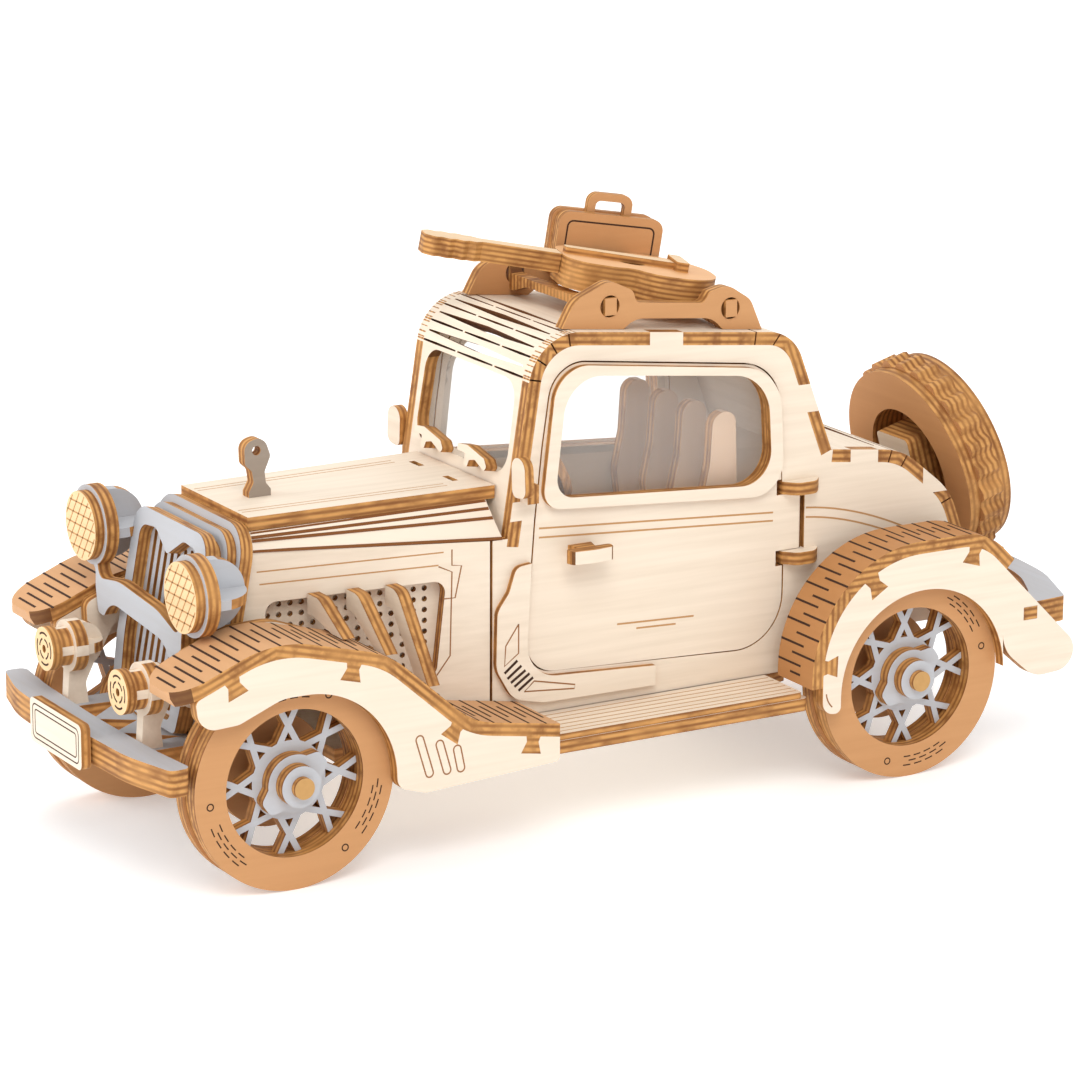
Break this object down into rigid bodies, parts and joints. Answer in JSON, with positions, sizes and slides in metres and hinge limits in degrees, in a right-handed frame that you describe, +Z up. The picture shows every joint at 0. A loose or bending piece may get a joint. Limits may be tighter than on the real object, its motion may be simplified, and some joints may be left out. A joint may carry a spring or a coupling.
{
  "type": "wooden 3d jigsaw model",
  "caption": "Laser-cut plywood jigsaw model of a vintage coupe with kerf-bent fenders and roof, turning spoked wheels, hinged doors, a spare wheel and a loaded roof rack.",
  "frame": {"origin": "on the ground under the middle of the model's bounding box", "axes": "+Z up, the car's front faces -Y, its left side faces +X"},
  "size_m": [0.0612, 0.1675, 0.089],
  "materials": {
    "basswood": "satin",
    "tan_print": "satin",
    "grey_print": "satin",
    "window_film": "gloss"
  },
  "bodies": {
    "car": {"axle_frames": "basswood", "body_side_left": "basswood", "body_side_right": "basswood", "bonnet_mascot": "grey_print", "bonnet_shoulders": "basswood", "bonnet_sides": "basswood", "bonnet_top": "basswood", "bumper_bracket": "grey_print", "chassis_floor": "basswood", "deck_sheet": "basswood", "elbow_trims": "basswood", "exhaust_pipes": "basswood", "firewall": "basswood", "fog_lamp_bodies": "basswood", "front_bumper": "grey_print", "front_fender_left": "basswood", "front_fender_right": "basswood", "front_fender_sheets": "tan_print", "grille_frame": "grey_print", "grille_slats": "grey_print", "guitar_body": "tan_print", "guitar_neck": "basswood", "headlamp_backs": "grey_print", "headlamp_bracket": "grey_print", "hinge_leaves": "basswood", "lamp_lenses": "basswood", "mirrors": "basswood", "number_plate": "basswood", "radiator_shell": "grey_print", "rear_bumper": "grey_print", "rear_fender_left": "basswood", "rear_fender_right": "basswood", "rear_fender_sheets": "tan_print", "roof_rack": "tan_print", "roof_sheet": "basswood", "running_board_treads": "basswood", "seats": "basswood", "spare_mount": "tan_print", "spare_wheel": "tan_print", "steering_wheel": "grey_print", "suitcase": "tan_print", "windscreen_pane": "window_film", "wipers": "basswood"},
    "front_wheels": {"front_axle_dowel": "basswood", "front_brake_discs": "tan_print", "front_tyre_left": "tan_print", "front_tyre_right": "tan_print", "front_wheel_centres": "grey_print"},
    "rear_wheels": {"rear_axle_dowel": "basswood", "rear_brake_discs": "tan_print", "rear_tyre_left": "tan_print", "rear_tyre_right": "tan_print", "rear_wheel_centres": "grey_print"},
    "left_door": {"door_left": "basswood", "door_trims_left": "basswood", "side_pane_left": "window_film"},
    "right_door": {"door_right": "basswood", "door_trims_right": "basswood", "side_pane_right": "window_film"}
  },
  "joints": [
    {"name": "front_axle", "type": "hinge", "parent": "car", "child": "front_wheels", "pos_m": [0, -0.059, 0.016], "axis": [1, 0, 0], "continuous": true},
    {"name": "rear_axle", "type": "hinge", "parent": "car", "child": "rear_wheels", "pos_m": [0, 0.0477, 0.016], "axis": [1, 0, 0], "continuous": true},
    {"name": "left_door", "type": "hinge", "parent": "car", "child": "left_door", "pos_m": [0.016, 0.0333, 0.0404], "axis": [0, 0, 1], "range_deg": [0, 30]},
    {"name": "right_door", "type": "hinge", "parent": "car", "child": "right_door", "pos_m": [-0.016, 0.0333, 0.0404], "axis": [0, 0, -1], "range_deg": [0, 30]}
  ]
}
